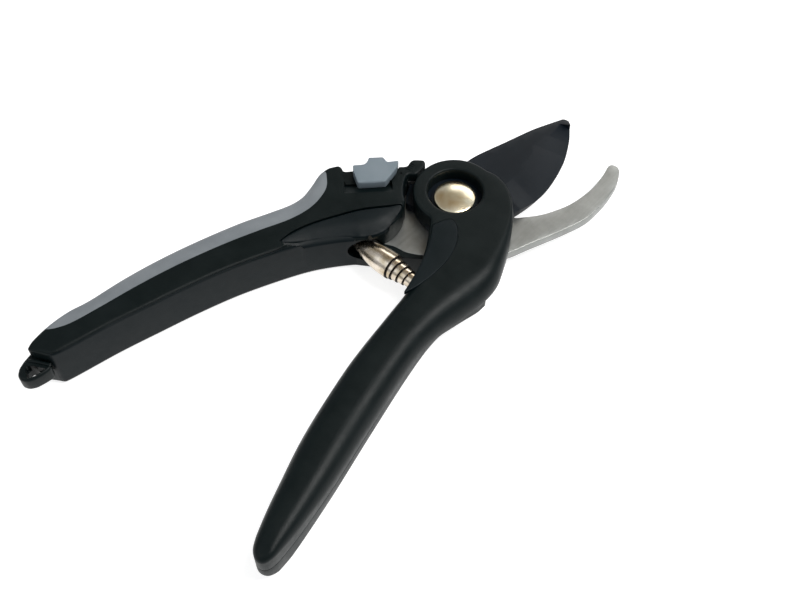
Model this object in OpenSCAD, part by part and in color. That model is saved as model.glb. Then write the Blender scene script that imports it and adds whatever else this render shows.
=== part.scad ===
// Bypass pruning shears, lying on their back and sprung open.
// Every outline is drawn about the pivot: +X towards the blades along the bisector of the handles,
// +Y towards the handle that carries the lock, +Z up from the resting face.
// placed() then moves the pivot so that the origin is below the middle of the whole part.

/* [Handles] */
// Thickness of both handles, from the resting face to the front face
handle_t = 17.5; // [17:0.25:18.5]
// Wall of the hollow handle shells
shell_wall = 2.4; // [2:0.2:3]
// Rounding of the handles where the fingers and the palm lie
palm_r = 5.2; // [4:0.2:5.6]
// Rounding of the shells' other edges
edge_r = 1.6; // [1:0.2:2.2]
// Height at which the grip insert in the back edge starts
insert_z = 2.5; // [2:0.25:3]

/* [Blades] */
// Height of the hook blade's underside above the resting face
hook_z = 5.4; // [5.2:0.1:5.6]
// Thickness of the hook blade
hook_t = 3.5; // [3.2:0.1:3.5]
// Thickness of the cutting blade
blade_t = 3; // [2.8:0.1:3]
// Gap between the two blades' flats
blade_gap = 0.15; // [0.1:0.05:0.2]
// Width of the grind along the cutting edge
grind_w = 5; // [3:0.5:6]

/* [Pivot] */
// Radius of the pivot bolt's shank
bolt_r = 3.9; // [3.7:0.1:4]
// Radius of the pivot bolt's head
head_r = 7.1; // [6.8:0.1:7.3]
// Wall of the bush on the shank
bush_wall = 1.1; // [1:0.1:1.3]
// Running clearance of the cutting blade on the bush
bush_clear = 0.06; // [0.03:0.01:0.09]
// Radius of the round eye at the front
eye_r = 14; // [13.8:0.1:14.2]
// Radius of the hole in the front eye
eye_hole_r = 9.4; // [9:0.1:9.5]
// Radius of the recess for the nut at the back
nut_recess_r = 8.4; // [8.2:0.1:8.6]

/* [Lock] */
// Travel of the lock slider
slider_travel = 3.2; // [2.8:0.1:3.2]
// Height of the slider above the front face
slider_rise = 2.2; // [1.8:0.1:2.4]

/* [Spring] */
// Largest radius of the volute spring
spring_r = 4.4; // [4:0.1:4.5]
// Depth of each spring pocket in the handles
pocket_depth = 5; // [4.5:0.25:5]

/* [Lanyard end] */
// Radius of the lanyard hole
lanyard_r = 2; // [1.8:0.1:2.2]
// Thickness of the lanyard end
lanyard_t = 6; // [5.5:0.5:6.5]

/* [Hidden] */
$fn = 64;

// Where the pivot stands in the part's own frame
pivot_at = [43.45, -6, 0];

// Heights of the layers
hook_top = hook_z + hook_t;
blade_z = hook_top + blade_gap;
blade_top = blade_z + blade_t;
mid_z = hook_top;
bush_r = bolt_r + bush_wall;
bush_top = blade_top + 0.1;
head_z = bush_top + 0.6;
lower_t = handle_t - 0.5;
liner_z = [1.8, handle_t - 1.4];
// How far a cutting shape runs past the face that it cuts
past = 1;

charcoal = [0.13, 0.14, 0.14];
soft_black = [0.09, 0.10, 0.11];
slate = [0.47, 0.50, 0.54];
steel = [0.75, 0.75, 0.74];
coated = [0.12, 0.14, 0.17];
nickel = [0.80, 0.74, 0.66];

// ---------- curves ----------

// Catmull-Rom value between b and c
function blend4(a, b, c, d, t) =
    0.5 * (2 * b + (c - a) * t + (2 * a - 5 * b + 4 * c - d) * t * t
    + (3 * b - a - 3 * c + d) * t * t * t);

// Open smooth curve through the points, n steps for each span
function curve(p, n = 4) = let (last = len(p) - 1) concat(
    [for (i = [0:last - 1], k = [0:n - 1])
        blend4(p[max(i - 1, 0)], p[i], p[i + 1], p[min(i + 2, last)], k / n)],
    [p[last]]);

// Arc about the pivot from angle a to angle b
function arc(r, a, b, n = 12) =
    [for (i = [0:n]) let (t = a + (b - a) * i / n) r * [cos(t), sin(t)]];

// Unit normal that points into a counter-clockwise outline at its point i
function inward(p, i) = let (n = len(p), d = p[(i + 1) % n] - p[(i + n - 1) % n])
    [-d[1], d[0]] / norm(d);

// Radius of the bend at point i of a counter-clockwise outline, large where it is straight or hollow
function bend_r(p, i) = let (n = len(p), a = p[(i + n - 1) % n], b = p[i], c = p[(i + 1) % n],
    turn = cross(b - a, c - b))
    turn < 0.02 ? 99 : norm(b - a) * norm(c - b) * norm(c - a) / (2 * turn);

// The wanted rounding radii, held below the outline's own bends
function fitted(p, want) = let (n = len(p))
    [for (i = [0:n - 1]) min(want[i],
        0.7 * min([for (k = [n - 1, 0, 1]) bend_r(p, (i + k) % n)]))];

// ---------- solids ----------

// A solid whose levels are outlines of equal length: each level is a list of [x, y, z]
module stack(levels) {
    n = len(levels[0]);
    last = len(levels) - 1;
    polyhedron(
        points = [for (level = levels, q = level) q],
        faces = concat(
            [[for (i = [0:n - 1]) i]],
            [for (k = [0:last - 1], i = [0:n - 1])
                let (a = k * n + i, b = k * n + (i + 1) % n)
                each [[a, a + n, b], [b, a + n, b + n]]],
            [[for (i = [n - 1:-1:0]) last * n + i]]));
}

// A plate with rounded edges, to be cut off flat at z0 and z1: both ends run on a little further.
// low and high give each outline point its rounding radius
module soft_plate(p, z0, z1, low, high, steps = 3) {
    lower = [for (k = [0:steps]) let (t = 90 * k / steps)
        [for (i = [0:len(p) - 1]) let (q = p[i] + inward(p, i) * low[i] * (1 - sin(t)))
            [q[0], q[1], z0 + low[i] * (1 - cos(t))]]];
    upper = [for (k = [0:steps]) let (t = 90 * k / steps)
        [for (i = [0:len(p) - 1]) let (q = p[i] + inward(p, i) * high[i] * (1 - cos(t)))
            [q[0], q[1], z1 - high[i] * (1 - sin(t))]]];
    stack(concat(
        [[for (q = lower[0]) q - [0, 0, past]]], lower,
        upper, [[for (q = upper[steps]) q + [0, 0, past]]]));
}

// The room between two heights, wide enough for either handle
module layer(z0, z1) translate([-200, -100, z0]) cube([300, 200, z1 - z0]);

// A straight-sided plate between two heights
module plate(p, z0, z1) {
    translate([0, 0, z0]) linear_extrude(z1 - z0) polygon(p);
}

// A disc about a point
module disc(at, r, z0, z1) {
    translate([at[0], at[1], z0]) cylinder(r = r, h = z1 - z0);
}

module placed() translate(pivot_at) children();

// ---------- outlines of the upper handle, counter-clockwise ----------

// Back edge from the slider's notch to the lanyard end
upper_back_edge = curve([[-21.4, 38.6], [-25.6, 39.4], [-31, 38.7], [-35.5, 38], [-40.5, 38.7],
    [-48, 41.7], [-57, 45.5], [-70, 49.9], [-84, 53.8], [-98, 56.6], [-112, 58.2], [-120, 58.4],
    [-126, 58.4], [-131, 57.7], [-135.2, 55.8]], 2);
// Inner edge from the lanyard end to the spring
upper_inner_edge = curve([[-131.2, 48.6], [-126, 47.2], [-112.5, 44.2], [-99, 40.5], [-85, 36.5],
    [-71.5, 31.9], [-58.5, 26.2], [-49, 21.3], [-42, 16.4], [-37, 12.2]], 2);
// The notch that the slider stands in
notch = [[-3, 19], [-5.1, 21.2], [-16.4, 31.8], [-18.9, 34], [-18.2, 35.5], [-18.3, 36.6], [-19.7, 37.5]];
// The back half also carries the back eye, so it reaches round the pivot
back_head = concat(
    curve([[-35.2, 9.6], [-30.5, 2.5], [-26.5, -4], [-21, -10], [-14.5, -13]], 3),
    arc(14.5, -118, 92, 22),
    [[2.4, 16.2], [-0.2, 18.9]], notch);
// The front half ends in a hollow arc that clears the front eye
front_head = concat(
    curve([[-33.5, 9.4], [-29, 6.9], [-24, 6], [-19.5, 6.8], [-16.2, 8.6]], 3),
    arc(17.4, 148, 108, 10),
    [[-3.6, 14.2], [1.4, 14.4], [3.2, 16.4], [0.6, 19.6], [-0.6, 19.7]], notch);
upper_back_outline = concat(upper_back_edge, upper_inner_edge, back_head);
upper_front_outline = concat(upper_back_edge, upper_inner_edge, front_head);

// Boundary of the grey insert on the face, and the ring that it fills
insert_line = curve([[-127.4, 58.6], [-126.2, 56.6], [-123.2, 54.8], [-119, 53.2], [-110, 51.4],
    [-96, 48.8], [-82, 45.4], [-68, 41], [-56, 36.4], [-47, 32.6], [-40, 30.9], [-34, 31],
    [-28, 33], [-23.6, 37.4]], 2);
insert_region = concat(insert_line, [[-24, 46], [-60, 66], [-127.4, 68]]);
// Boundary of the liner, a constant depth behind the inner edge
liner_inner = curve([[-131.5, 49.8], [-126, 48.6], [-112, 45.8], [-98.4, 42.1], [-84.4, 38.1],
    [-70.8, 33.5], [-58, 27.9], [-48.2, 22.8], [-40.6, 17.7]], 2);
liner_region = concat(liner_inner, [[-42.6, 10], [-90, 24], [-131, 40]]);

// ---------- outlines of the lower handle, counter-clockwise ----------

lower_inner_edge = curve([[-20.5, -5.9], [-26.3, -9], [-37.7, -13.3], [-51.6, -15.5],
    [-64.8, -17.4], [-77.1, -19.8], [-99, -25.6], [-118, -32.8], [-129.5, -38]], 3);
lower_tip = curve([[-129.5, -38], [-132.8, -40.2], [-134.4, -43.2], [-133.4, -45.6],
    [-130, -46.4]], 2);
lower_outer_edge = curve([[-130, -46.4], [-120, -45.2], [-102, -41.8], [-80.6, -36.8], [-57, -31.8],
    [-44, -30.9], [-33, -32.2], [-24, -33.2], [-17, -32.6], [-10.5, -30], [-4, -26.8],
    [1.8, -23.4], [7, -19.5], [11.3, -15], [13.8, -10.6], [14.9, -6]], 3);
// The back half has no bulge beside the blades
lower_back_edge = curve([[-130.2, -46.6], [-120, -45.5], [-102, -41.9], [-80.6, -36.8], [-57, -31.6],
    [-44, -29.8], [-33, -30.5], [-24, -32.1], [-15, -31.6]], 3);
function no_last(p) = [for (i = [0:len(p) - 2]) p[i]];
lower_front_outline = concat(no_last(lower_inner_edge), no_last(lower_tip),
    lower_outer_edge, arc(eye_r + 0.2, -6, 186, 26), [[-16.2, -3]]);
// The back half starts behind the blades, at a step about the pivot
step_r = 36.3;
lower_back_outline = concat(
    [for (q = no_last(lower_inner_edge)) if (norm(q) > step_r) q],
    no_last(lower_tip),
    [for (q = lower_back_edge) if (norm(q) > step_r) q],
    arc(step_r, 238, 202, 6));

// Edge radii: palm_r where the hand lies, edge_r about the head
function on_grip(q) = q[0] < -26;
function upper_edges(p) = fitted(p, [for (q = p) !on_grip(q) ? 0.8
    : q[1] > 0.42 * -q[0] + 9 || (q[0] > -46 && q[1] > 30) ? palm_r : edge_r]);
function lower_edges(p) = fitted(p, [for (q = p) norm(q) < 20 ? 0.9
    : min(palm_r, 0.9 + 0.26 * (norm(q) - 20))]);

// ---------- steel ----------

hook_outline = concat(
    arc(13, -62, 112, 18),
    curve([[-9, 17.5], [-20, 22.5], [-36, 27.5], [-52, 33.5], [-70, 40.8], [-84, 45]], 2),
    curve([[-86.5, 42.5], [-84, 39.6], [-70, 35.2], [-52, 27.6], [-40, 20.8], [-32, 12.6],
        [-27, 4.5], [-25.6, -1.5], [-21.5, -8], [-13, -18.5], [-4.6, -25.6], [4.6, -29.4],
        [16.2, -33.9], [25.4, -36.8], [33, -37.2], [39.3, -36.7], [46, -35.3], [50.8, -32.9]], 3),
    curve([[51.9, -31.2], [51.4, -29.1]], 2),
    curve([[50, -28.6], [44, -29.9], [36.5, -30.4], [28.5, -29.4], [22.6, -27.4],
        [16.4, -24.2], [10.2, -19.2]], 3));

// Lobe of the blade's eye that holds the closed end of the lock slot
lobe_r = 16.5;

cutting_edge = curve([[12, -19], [16.9, -19.6], [24.5, -19.8], [30.9, -18.9], [36.8, -17.4],
    [42.2, -15.5], [49.5, -11.7], [54.2, -8.4]], 2);

blade_outline = concat(
    arc(eye_r, 40, 100, 6),
    arc(lobe_r, 106, 138, 4),
    arc(eye_r, 144, 170, 3),
    curve([[-15, -4], [-20, -12], [-27, -16.8], [-40, -19.4], [-56, -22.6], [-62, -24.6]], 2),
    curve([[-62.6, -28.2], [-56, -27.6], [-40, -25.4], [-28, -26], [-16, -26.4], [-6, -22.4],
        [0, -17.6]], 2),
    [[8.9, -18.4]],
    cutting_edge,
    [[55.3, -6.7], [55, -5.1]],
    curve([[54.5, -4.5], [49.1, -2.1], [42.8, 0.5], [32.3, 3.7], [21.3, 7.1], [15.3, 8.2]], 2));

// The grind: a wedge cut off along the cutting edge, which keeps land_t of steel at the edge
land_t = 0.4;
module grind_wedge() {
    last = len(cutting_edge) - 1;
    rings = [for (i = [0:last]) let (
        e = cutting_edge[i],
        d = cutting_edge[min(i + 1, last)] - cutting_edge[max(i - 1, 0)],
        in = [-d[1], d[0]] / norm(d),
        w = grind_w * min(1, 4 * i / last + 0.1, 3 * (1 - i / last) + 0.12),
        rise = (blade_t - land_t) / w,
        low = e - in * 0.5,
        high = e + in * (w + 0.5))
        [[low[0], low[1], blade_z + land_t - 0.5 * rise],
         [high[0], high[1], blade_top + 0.5 * rise],
         [low[0], low[1], blade_top + 0.5 * rise + 1]]];
    polyhedron(
        points = [for (r = rings, q = r) q],
        faces = concat([[0, 1, 2]],
            [for (i = [0:last - 1], k = [0:2]) let (a = 3 * i + k, b = 3 * i + (k + 1) % 3)
                each [[a, a + 3, b], [b, a + 3, b + 3]]],
            [[3 * last + 2, 3 * last + 1, 3 * last]]));
}

// The lock pin stands in a curved slot of the blade's eye and drops into a pocket at either end
lock_dir = [-sqrt(0.5), sqrt(0.5)];
lock_line = 12.5 / sqrt(2);
lock_pin_r = 1.1;
lock_pin_orbit = 11.4;
lock_pin_at = lock_line * [sqrt(0.5), sqrt(0.5)]
    + sqrt(lock_pin_orbit * lock_pin_orbit - lock_line * lock_line) * lock_dir;
lock_pin_angle = atan2(lock_pin_at[1], lock_pin_at[0]);
close_angle = 28;
// The blade's slot leaves the pin this much room
slot_r = lock_pin_r + 0.35;
bar_z = blade_top + 0.15;
bar_t = 1.3;
bar_half = 1.3;
bar_back = [-13.5, 26];
// The pin's end that is set in the bar, and the slider's neck that stands on the bar
pin_neck_r = 0.9;
neck_r = 1.5;

// A straight slot from a to b
module slot(a, b, r, z0, z1) {
    d = b - a;
    translate([a[0], a[1], z0]) rotate(atan2(d[1], d[0])) {
        translate([0, -r, 0]) cube([norm(d), 2 * r, z1 - z0]);
        cylinder(r = r, h = z1 - z0);
        translate([norm(d), 0, 0]) cylinder(r = r, h = z1 - z0);
    }
}

// A ring segment about the pivot from angle a to angle b
module sector(r0, r1, a, b, z0, z1) {
    translate([0, 0, z0]) rotate([0, 0, a])
        rotate_extrude(angle = b - a) translate([r0, 0]) square([r1 - r0, z1 - z0]);
}

// ---------- screws, pins and the spring's line ----------

upper_screw_at = [[-46, 27.5], [-94, 44], [-122, 50.4]];
lower_screw_at = [[-44, -17], [-84, -28], [-119, -38.6]];
upper_pin_at = [[-24, 17.5], [-62, 34.6]];
lower_pin_at = [[-27, -21.4], [-52, -24.4]];
screw_r = 1.4;
screw_head_r = 2.7;
screw_sink = 0.6;
screw_head_t = 1.4;
screw_end = 14;
boss_r = 3;
pin_r = 1.5;
pin_z = [2, 15];

spring_z = 9;
seat_upper = [-33.7, 12.1, spring_z];
seat_lower = [-33.1, -10.6, spring_z];

// Turns +Z towards the lower handle, along the spring's line
module along_spring(from = seat_upper) {
    translate(from) rotate([90, 0, 1.5]) children();
}
spring_gap = norm(seat_upper - seat_lower);
pocket_r = spring_r + 0.5;
// Free way that each pocket's cutter clears in front of its handle
pocket_open = 12;

module spring_pocket_upper() along_spring() translate([0, 0, -pocket_depth])
    cylinder(r = pocket_r, h = pocket_depth + pocket_open);
module spring_pocket_lower() along_spring() translate([0, 0, spring_gap - pocket_open])
    cylinder(r = pocket_r, h = pocket_depth + pocket_open);

module screws(at) {
    for (q = at) {
        disc(q, screw_head_r, screw_sink, screw_sink + screw_head_t);
        disc(q, screw_r, screw_sink + screw_head_t, screw_end);
    }
}

module screw_holes(at) {
    for (q = at) {
        disc(q, screw_head_r, -1, screw_sink + screw_head_t);
        disc(q, screw_r, 0, screw_end);
    }
}

module pins(at) for (q = at) disc(q, pin_r, pin_z[0], pin_z[1]);

// The hollow of a grip shell, with a boss left standing round each screw
module hollow(p, z0, z1, at) {
    difference() {
        plate(p, z0, z1);
        for (q = at) disc(q, boss_r, z0 - 1, z1 + 1);
    }
}
upper_hollow = concat(
    curve([[-126, 49.8], [-112, 46.8], [-98, 43], [-84, 39], [-70, 34.4], [-58, 28.9]], 2),
    curve([[-56, 33.6], [-68, 38.4], [-82, 42.8], [-96, 46.4], [-110, 49], [-124, 51.4]], 2));
lower_hollow = concat(
    curve([[-70, -29.6], [-98, -36.4], [-118, -42.6]], 2),
    curve([[-122, -40.6], [-112, -35.4], [-98, -30], [-84, -25.8], [-70, -22.6]], 2));

// ---------- upper handle ----------

module upper_solid(p) {
    soft_plate(p, 0, handle_t, upper_edges(p), upper_edges(p));
}

// Holes and seats that both halves of the upper handle have
module upper_cuts() {
    pins(upper_pin_at);
    screw_holes(upper_screw_at);
    spring_pocket_upper();
    plate(insert_region, insert_z, handle_t + past);
    plate(liner_region, liner_z[0], liner_z[1]);
}

module upper_back_shell() color(charcoal) placed() difference() {
    intersection() {
        upper_solid(upper_back_outline);
        layer(0, mid_z);
    }
    plate(hook_outline, hook_z, mid_z + past);
    // The eye keeps only the layer behind the hook blade
    disc([0, 0], lobe_r + 0.7, hook_z, mid_z + past);
    translate([-12, -40, hook_z]) cube([60, 47, mid_z]);
    disc([0, 0], nut_recess_r, -past, hook_z + past);
    lanyard_tenon();
    upper_cuts();
}

// Shallow track on the face that the slider runs in
track_outline = [[-25.4, 27.4], [-16.6, 18], [-7.6, 19.2], [-4.2, 21.2], [-3.8, 22.8], [-17.6, 35.2],
    [-19.1, 34.3], [-22.8, 30.6]];
track_depth = 1.2;
// Clearance round the lock bar in its channel
bar_clear = 0.2;

module upper_front_shell() color(charcoal) placed() difference() {
    intersection() {
        upper_solid(upper_front_outline);
        layer(mid_z, handle_t);
    }
    hollow(upper_hollow, mid_z - past, handle_t - shell_wall, upper_screw_at);
    plate(track_outline, handle_t - track_depth, handle_t + past);
    // Channel of the lock bar, open to the eye, and the slot of the slider's neck above it
    slot([-17.5, 30], [3, 9.5], bar_half + 0.5, bar_z - bar_clear, bar_z + bar_t + bar_clear);
    slot([-16.2, 28.7], [-9.4, 21.9], neck_r + 0.3, bar_z, handle_t);
    front_pad_region();
    // The horn hangs over the blade's lobe, so only its own layer is cut right back
    disc([0, 0], lobe_r + 0.5, mid_z - past, blade_top + 0.3);
    disc([0, 0], eye_r + 0.7, mid_z - past, handle_t + past);
    lanyard_tenon();
    upper_cuts();
}

module grip_insert() color(slate) placed() difference() {
    intersection() {
        upper_solid(upper_back_outline);
        plate(insert_region, insert_z, handle_t);
    }
    screw_holes(upper_screw_at);
    lanyard_tenon();
}

module inner_liner() color(soft_black) placed() difference() {
    intersection() {
        upper_solid(upper_back_outline);
        plate(liner_region, liner_z[0], liner_z[1]);
    }
    lanyard_tenon();
    spring_pocket_upper();
}

// Leaf-shaped pad beside the printed field, let into the front shell
pad_outline = concat(
    curve([[-54.8, 28], [-50, 24.4], [-44.2, 20.5], [-38, 15.8], [-33.4, 11.1], [-29, 8.1],
        [-24, 7], [-19.6, 7.7], [-16.9, 9]], 2),
    curve([[-20, 11.9], [-27, 17.6], [-34, 21.6], [-42, 25.6], [-49, 27.9]], 2));
module front_pad_region() plate(pad_outline, handle_t - 3, handle_t);

module front_pad() color(soft_black) placed() difference() {
    intersection() {
        upper_solid(upper_front_outline);
        front_pad_region();
    }
    spring_pocket_upper();
    pins(upper_pin_at);
}

// The end piece hangs on a tenon that the two shells clamp
lanyard_z = [6.8, 6.8 + lanyard_t];
lanyard_hole_at = [-137.9, 51.6];
lanyard_outline = [[-131, 56.8], [-134.2, 57.3], [-137.2, 56.7], [-140, 55.6], [-141.8, 53.9],
    [-142.2, 52], [-141.3, 50.2], [-139.4, 49], [-136.4, 48.3], [-132.8, 47.9], [-130, 48.6],
    [-129, 52]];
module lanyard_tenon() plate([[-140, 50.4], [-124, 50.4], [-124, 54.6], [-140, 54.6]], 7.4, 11.6);

module lanyard_end() color(charcoal) placed() difference() {
    union() {
        plate(lanyard_outline, lanyard_z[0], lanyard_z[1]);
        lanyard_tenon();
    }
    // The shells take the rest of the room that the outline covers
    difference() {
        upper_solid(upper_back_outline);
        lanyard_tenon();
    }
    disc(lanyard_hole_at, lanyard_r, -past, handle_t);
}

module hook_blade() color(steel) placed() difference() {
    plate(hook_outline, hook_z, hook_top);
    disc([0, 0], bush_r, 0, handle_t);
    pins(upper_pin_at);
    screw_holes(upper_screw_at);
    spring_pocket_upper();
}

module hook_tang_pins() color(steel) placed() pins(upper_pin_at);
module upper_screws() color(steel) placed() screws(upper_screw_at);

// ---------- pivot ----------

module pivot_bolt() color(nickel) placed() {
    rotate_extrude() polygon(concat(
        [[0, 0.7], [bolt_r - 0.4, 0.7], [bolt_r, 1.1], [bolt_r, head_z], [head_r, head_z],
            [head_r, head_z + 1]],
        [for (t = [0:15:75]) [head_r * cos(t), head_z + 1 + 1.1 * sin(t)]],
        [[0, head_z + 1 + 1.1 * sin(75)]]));
}

module pivot_bush() color(nickel) placed() difference() {
    disc([0, 0], bush_r, hook_z, bush_top);
    disc([0, 0], bolt_r, 0, handle_t);
}

module washer(r, z0, z1) difference() {
    disc([0, 0], r, z0, z1);
    disc([0, 0], bolt_r, z0 - 1, z1 + 1);
}

module head_washer() color(nickel) placed() washer(7.8, bush_top, head_z);
module nut_washer() color(nickel) placed() washer(7.6, hook_z - 0.8, hook_z);

module pivot_nut() color(nickel) placed() difference() {
    disc_hex(6.9, 1.3, hook_z - 0.8);
    disc([0, 0], bolt_r, 0, handle_t);
}
module disc_hex(r, z0, z1) translate([0, 0, z0]) cylinder(r = r, h = z1 - z0, $fn = 6);

// ---------- spring ----------

module upper_spring_seat() color(steel) placed() along_spring()
    translate([0, 0, -pocket_depth]) {
        cylinder(r = spring_r, h = 1);
        cylinder(r = 1.3, h = 3.4);
    }

module lower_spring_seat() color(steel) placed() along_spring()
    translate([0, 0, spring_gap + pocket_depth - 3.4]) {
        translate([0, 0, 2.4]) cylinder(r = spring_r, h = 1);
        cylinder(r = 1.3, h = 3.4);
    }

// Turns of the coiled strip, each smaller than the last towards both ends: [start, radius]
spring_turns = [[-3.9, 2.1], [-0.6, 2.8], [1.6, 3.5], [4, 4], [6.8, 4.4], [14, 4.05],
    [16.4, 3.75], [18.6, 3.45], [20.8, 3.15], [23.2, 2.8], [26.6, 2.8]];

module volute_spring() color(nickel) placed() along_spring() rotate_extrude() polygon(concat(
    [for (k = [0:len(spring_turns) - 2]) each [
        [spring_turns[k][1], spring_turns[k][0]], [spring_turns[k][1], spring_turns[k + 1][0]]]],
    [[1.6, 26.6], [1.6, -3.9]]));

// ---------- lower handle ----------

module lower_solid(p) {
    soft_plate(p, 0, lower_t, lower_edges(p), lower_edges(p), 4);
}

module lower_back_shell() color(charcoal) placed() difference() {
    intersection() {
        lower_solid(lower_back_outline);
        layer(0, blade_z);
    }
    hollow(lower_hollow, shell_wall, blade_z + past, lower_screw_at);
    pins(lower_pin_at);
    screw_holes(lower_screw_at);
    spring_pocket_lower();
}

// Angles about the pivot: the bare part of the blade's eye, and the lock bar's reach on
// either side of the pin
bare_eye = [38, 172];
bar_before = 12;
bar_after = 28;
module lower_front_shell() color(charcoal) placed() difference() {
    intersection() {
        lower_solid(lower_front_outline);
        layer(blade_z, lower_t);
    }
    hollow(lower_hollow, blade_z - past, lower_t - shell_wall, lower_screw_at);
    plate(blade_outline, blade_z - past, blade_top);
    // The blade's own eye is bare where no handle stands behind it
    sector(eye_hole_r + 0.7, lobe_r - 0.5, bare_eye[0], bare_eye[1], blade_z - past, blade_top - 0.3);
    disc([0, 0], eye_hole_r, 0, handle_t + past);
    // Underside groove that the lock bar's end sweeps
    sector(eye_hole_r + 0.7, lobe_r - 0.5, lock_pin_angle - bar_before,
        lock_pin_angle + close_angle + bar_after, blade_z - past, bar_z + bar_t + 0.3);
    plate(thumb_outline, thumb_z[0], handle_t);
    pins(lower_pin_at);
    screw_holes(lower_screw_at);
    spring_pocket_lower();
}

// Raised pad beside the seam below the eye
thumb_outline = concat(
    curve([[-15.4, -4.4], [-21.5, -9.2], [-27, -12], [-33, -14.2], [-41, -15.9]], 2),
    curve([[-37, -17.2], [-30, -17.4], [-23.5, -16.9], [-17.5, -15.2], [-12.8, -12.2],
        [-10.4, -8.6], [-10.8, -6.6]], 2));

thumb_z = [lower_t - 1.2, lower_t + 0.3];

module thumb_pad() color(soft_black) placed() plate(thumb_outline, thumb_z[0], thumb_z[1]);

module cutting_blade() color(coated) placed() difference() {
    plate(blade_outline, blade_z, blade_top);
    grind_wedge();
    disc([0, 0], bush_r + bush_clear, 0, handle_t);
    sector(lock_pin_orbit - slot_r, lock_pin_orbit + slot_r, lock_pin_angle,
        lock_pin_angle + close_angle, 0, handle_t);
    for (turn = [0, close_angle]) rotate(turn)
        slot(lock_pin_at, lock_pin_at + lock_dir * (slider_travel + 0.3), slot_r, 0, handle_t);
    pins(lower_pin_at);
    screw_holes(lower_screw_at);
    spring_pocket_lower();
}

module blade_tang_pins() color(steel) placed() pins(lower_pin_at);
module lower_screws() color(steel) placed() screws(lower_screw_at);

// ---------- lock ----------

slider_outline = [[-16.3, 31.3], [-13.4, 28.9], [-12, 29], [-10.4, 29.8], [-7.1, 26.5], [-7.4, 25.3],
    [-7.7, 24.2], [-4.9, 21.6], [-7.9, 20], [-14.2, 18.9], [-20.6, 25], [-18, 29.6]];

module lock_slider() color(slate) placed() {
    plate([for (i = [len(slider_outline) - 1:-1:0]) slider_outline[i]],
        handle_t - 1, handle_t + slider_rise);
    slot(bar_back, [-11, 23.5], neck_r, bar_z + bar_t, handle_t - 1);
}

module lock_bar() color(steel) placed() difference() {
    slot(bar_back, lock_pin_at, bar_half, bar_z, bar_z + bar_t);
    disc(lock_pin_at, pin_neck_r, 0, handle_t);
}

module lock_pin() color(steel) placed() {
    disc(lock_pin_at, lock_pin_r, blade_z + 0.3, bar_z);
    disc(lock_pin_at, pin_neck_r, bar_z, bar_z + bar_t);
}

upper_back_shell();
upper_front_shell();
grip_insert();
inner_liner();
front_pad();
lanyard_end();
hook_blade();
hook_tang_pins();
upper_screws();
pivot_bolt();
pivot_bush();
head_washer();
nut_washer();
pivot_nut();
upper_spring_seat();
volute_spring();
lower_front_shell();
lower_back_shell();
thumb_pad();
cutting_blade();
blade_tang_pins();
lower_screws();
lower_spring_seat();
lock_slider();
lock_bar();
lock_pin();
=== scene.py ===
"""Bypass pruning shears: the detailed pieces, their materials, the studio and the camera.

Outlines are in millimetres about the pivot (+X towards the blades, +Y towards the handle with the
lock, Z up from the floor), and make_piece() puts them in the shared frame, in metres.
"""
import math

import bpy
import numpy as np
from mathutils import Matrix, Vector
from mathutils.geometry import delaunay_2d_cdt


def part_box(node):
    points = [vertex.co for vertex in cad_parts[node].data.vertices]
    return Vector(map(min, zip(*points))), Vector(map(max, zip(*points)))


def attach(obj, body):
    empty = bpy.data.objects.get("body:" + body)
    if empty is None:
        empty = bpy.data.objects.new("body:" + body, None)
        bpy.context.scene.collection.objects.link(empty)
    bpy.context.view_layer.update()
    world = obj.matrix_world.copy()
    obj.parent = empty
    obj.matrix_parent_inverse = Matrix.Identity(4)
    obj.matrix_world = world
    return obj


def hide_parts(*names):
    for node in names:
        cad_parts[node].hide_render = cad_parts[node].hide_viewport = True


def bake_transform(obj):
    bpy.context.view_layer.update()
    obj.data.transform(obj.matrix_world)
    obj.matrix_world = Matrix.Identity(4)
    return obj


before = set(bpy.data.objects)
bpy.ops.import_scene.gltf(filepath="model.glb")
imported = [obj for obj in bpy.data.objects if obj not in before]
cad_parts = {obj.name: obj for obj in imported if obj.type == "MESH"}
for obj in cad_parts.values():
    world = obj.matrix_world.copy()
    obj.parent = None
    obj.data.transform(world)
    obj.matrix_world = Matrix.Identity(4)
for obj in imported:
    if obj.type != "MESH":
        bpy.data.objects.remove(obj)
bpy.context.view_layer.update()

MM = 0.001
bolt_low, bolt_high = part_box("pivot_bolt")
PIVOT = (bolt_low + bolt_high) / 2
PIVOT.z = 0.0
PIVOT_MM = np.array([PIVOT.x, PIVOT.y, 0.0]) / MM


def height(node, top=True):
    """Height of a CAD node's top or bottom face, in millimetres."""
    low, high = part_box(node)
    return (high.z if top else low.z) / MM


# Heights of the layers
UPPER_TOP = height("upper_front_shell")
LOWER_TOP = height("lower_front_shell")
HOOK_Z = height("hook_blade", top=False)
HOOK_TOP = height("hook_blade")
BLADE_Z = height("cutting_blade", top=False)
BLADE_TOP = height("cutting_blade")
HEAD_Z = height("head_washer")
SLIDER_TOP = height("lock_slider")
SPRING_Z = (height("upper_spring_seat") + height("upper_spring_seat", top=False)) / 2

STEP = 0.6          # spacing of points along an outline
SEAM = 0.22         # rounding of the edges where two shells meet


# ---------------------------------------------------------------- curves

def smooth(points, step=STEP):
    """Dense Catmull-Rom curve through the points."""
    p = np.array(points, float)
    q = np.vstack([2 * p[0] - p[1], p, 2 * p[-1] - p[-2]])
    spans = []
    for i in range(len(p) - 1):
        a, b, c, d = q[i:i + 4]
        count = max(2, int(np.linalg.norm(c - b) / step))
        t = np.linspace(0, 1, count, endpoint=False)[:, None]
        spans.append(0.5 * (2 * b + (c - a) * t + (2 * a - 5 * b + 4 * c - d) * t ** 2
                            + (3 * b - a - 3 * c + d) * t ** 3))
    return np.vstack(spans + [p[-1:]])


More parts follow.
